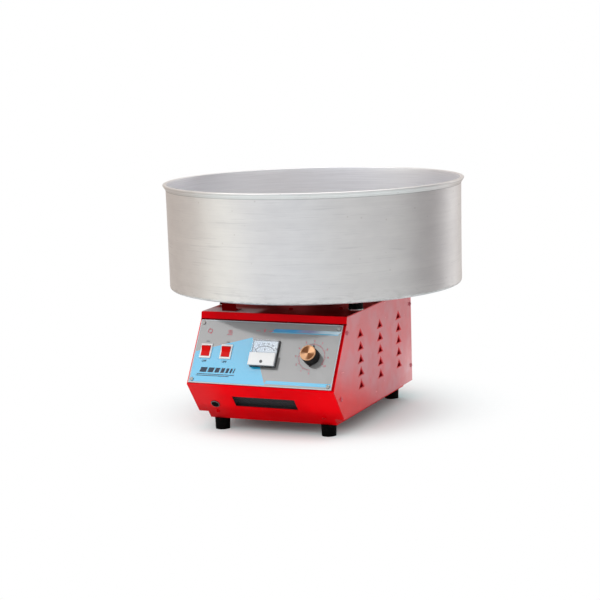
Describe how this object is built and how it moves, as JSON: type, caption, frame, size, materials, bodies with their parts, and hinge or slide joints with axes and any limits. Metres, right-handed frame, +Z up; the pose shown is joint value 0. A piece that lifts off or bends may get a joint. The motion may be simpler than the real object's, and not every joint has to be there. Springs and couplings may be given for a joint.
{
  "type": "candy floss machine",
  "caption": "Tabletop electric candy floss machine: red steel cabinet with sloping control panel, wide aluminium bowl on rubber buffers and heated spinner head.",
  "frame": {"origin": "on the table, under the axis of the bowl and the spinner shaft", "axes": "+Z up along the spinner shaft, -Y towards the user and the control panel, +X to the user's right"},
  "size_m": [0.5199, 0.52, 0.4031],
  "materials": {
    "red_enamel": "gloss stove enamel",
    "print_film": "glossy printed film",
    "black_rubber": "moulded",
    "zinc_steel": "zinc plated",
    "bright_steel": "ground",
    "spun_aluminium": "spun and brushed",
    "cast_aluminium": "cast and turned",
    "heater_sheath": "heat darkened",
    "white_ceramic": "matt",
    "white_plastic": "moulded",
    "red_plastic": "translucent",
    "black_plastic": "moulded",
    "black_metal": "matt",
    "dial_card": "printed",
    "clear_plastic": "clear acrylic",
    "brass": "spun",
    "chrome_ring": "plated",
    "fuse_glass": "clear",
    "filter_foam": "open foam",
    "motor_paint": "satin",
    "iron": "laminated",
    "copper": "enamelled wire",
    "bakelite": "moulded",
    "carbon": "pressed"
  },
  "bodies": {
    "base": {"cabinet_shell": "red_enamel", "front_panel": "red_enamel", "panel_overlay": "print_film", "base_tray": "red_enamel", "back_panel": "red_enamel", "rubber_feet": "black_rubber", "foot_screws": "zinc_steel", "case_screws": "red_enamel", "panel_screws": "zinc_steel", "bowl_buffers": "black_rubber", "buffer_plates": "zinc_steel", "bowl_bracket": "red_enamel", "motor_switch_housing": "white_plastic", "heat_switch_housing": "white_plastic", "meter_case": "black_plastic", "meter_magnet": "iron", "meter_dial": "dial_card", "meter_window": "clear_plastic", "meter_cover": "white_plastic", "regulator_body": "black_plastic", "regulator_nut": "zinc_steel", "fuse_holder": "black_plastic", "fuse_ring": "chrome_ring", "fuse_link": "fuse_glass", "dust_filter": "filter_foam", "motor_bracket": "zinc_steel", "motor_bushes": "black_rubber", "motor_bolts": "zinc_steel", "motor_frame": "motor_paint", "motor_end_caps": "cast_aluminium", "motor_bearings": "bright_steel", "stator_core": "iron", "stator_coils": "copper", "brush_holder": "bakelite", "carbon_brushes": "carbon", "brush_springs": "bright_steel", "terminal_block": "white_plastic", "cord_gland": "black_rubber"},
    "spinner": {"drive_shaft": "bright_steel", "motor_armature": "iron", "cooling_fan": "black_plastic", "slip_ring_sleeve": "bakelite", "slip_rings": "brass", "heater_leads": "white_ceramic", "head_base": "cast_aluminium", "heater_insulators": "white_ceramic", "heater_ring": "heater_sheath", "head_band": "bright_steel", "head_cover": "spun_aluminium", "head_screws": "zinc_steel", "head_nut": "zinc_steel"},
    "bowl": {"bowl": "spun_aluminium"},
    "motor_rocker": {"motor_rocker": "red_plastic"},
    "heat_rocker": {"heat_rocker": "red_plastic"},
    "knob": {"regulator_knob": "black_plastic", "knob_cap": "brass", "regulator_shaft": "bright_steel"},
    "needle": {"meter_needle": "black_metal"},
    "zero_screw": {"meter_zero_screw": "black_plastic"},
    "fuse_cap": {"fuse_cap": "black_plastic"}
  },
  "joints": [
    {"name": "spinner_spin", "type": "hinge", "parent": "base", "child": "spinner", "pos_m": [0, 0, 0.262], "axis": [0, 0, 1], "continuous": true},
    {"name": "bowl_lift", "type": "slide", "parent": "base", "child": "bowl", "axis": [0, 0, 1], "range_m": [0, 0.25]},
    {"name": "motor_switch_rock", "type": "hinge", "parent": "base", "child": "motor_rocker", "pos_m": [-0.1086, -0.21969, 0.13616], "axis": [-1, 0, 0], "range_deg": [0, 24]},
    {"name": "heat_switch_rock", "type": "hinge", "parent": "base", "child": "heat_rocker", "pos_m": [-0.0718, -0.21969, 0.13616], "axis": [-1, 0, 0], "range_deg": [0, 24]},
    {"name": "regulator_turn", "type": "hinge", "parent": "base", "child": "knob", "pos_m": [0.0818, -0.22038, 0.1347], "axis": [0, 0.8454, -0.5341], "range_deg": [0, 300]},
    {"name": "needle_swing", "type": "hinge", "parent": "base", "child": "needle", "pos_m": [-0.001, -0.22599, 0.12582], "axis": [0, 0.8454, -0.5341], "range_deg": [0, 90], "stiffness_Nm_per_rad": 0.0002},
    {"name": "zero_adjust", "type": "hinge", "parent": "base", "child": "zero_screw", "pos_m": [-0.001, -0.22893, 0.12117], "axis": [0, -0.8454, 0.5341], "range_deg": [-30, 30]},
    {"name": "fuse_cap_turn", "type": "hinge", "parent": "base", "child": "fuse_cap", "pos_m": [-0.0938, -0.22239, 0.04875], "axis": [0, -0.7857, -0.6187], "range_deg": [0, 90]}
  ]
}
